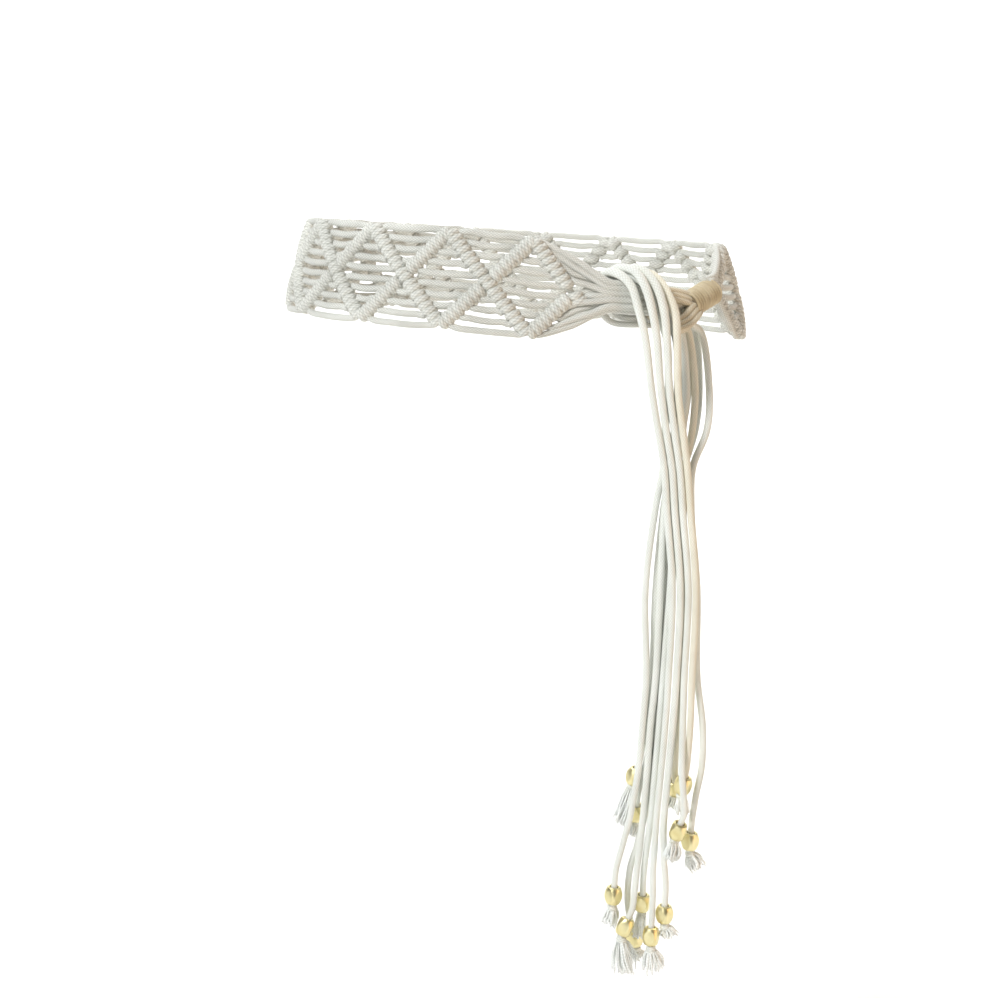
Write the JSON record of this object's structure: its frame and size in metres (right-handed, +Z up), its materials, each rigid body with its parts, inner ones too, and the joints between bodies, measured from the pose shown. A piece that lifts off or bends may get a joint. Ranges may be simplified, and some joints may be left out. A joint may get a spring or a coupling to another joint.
{
  "type": "belt",
  "caption": "Cord belt knotted in an open row of diamonds, tied at the front through its own end loop, the long cord ends hanging down with gold-toned beads and small tassels.",
  "frame": {"origin": "middle of the waist loop, at the height of the band's middle line at the sides' mean", "axes": "+Z up, -Y to the front of the wearer, +X to the wearer's left, where the belt is tied"},
  "size_m": [0.3298, 0.2508, 0.5201],
  "materials": {
    "cotton": "matt braided cord",
    "gold": "satin gold-toned"
  },
  "bodies": {
    "root": {"band_diamond_01": "cotton", "band_diamond_02": "cotton", "band_diamond_03": "cotton", "band_diamond_04": "cotton", "band_diamond_05": "cotton", "band_diamond_06": "cotton", "band_diamond_07": "cotton", "band_diamond_08": "cotton", "band_diamond_09": "cotton", "band_diamond_10": "cotton", "band_diamond_11": "cotton", "band_diamond_12": "cotton", "band_diamond_13": "cotton", "start_fan": "cotton", "gathering_wrap": "cotton", "end_loop": "cotton", "end_fan": "cotton", "tie_bundle": "cotton", "tie_return": "cotton", "tail_01": "cotton", "tail_02": "cotton", "tail_03": "cotton", "tail_04": "cotton", "tail_05": "cotton", "tail_06": "cotton", "tail_07": "cotton", "tail_08": "cotton", "tail_09": "cotton", "tail_10": "cotton", "tail_11": "cotton", "tail_12": "cotton", "bead_01": "gold", "bead_02": "gold", "bead_03": "gold", "bead_04": "gold", "bead_05": "gold", "bead_06": "gold", "bead_07": "gold", "bead_08": "gold", "bead_09": "gold", "bead_10": "gold", "bead_11": "gold", "bead_12": "gold", "tassel_01": "cotton", "tassel_02": "cotton", "tassel_03": "cotton", "tassel_04": "cotton", "tassel_05": "cotton", "tassel_06": "cotton", "tassel_07": "cotton", "tassel_08": "cotton", "tassel_09": "cotton", "tassel_10": "cotton", "tassel_11": "cotton", "tassel_12": "cotton"}
  },
  "joints": []
}
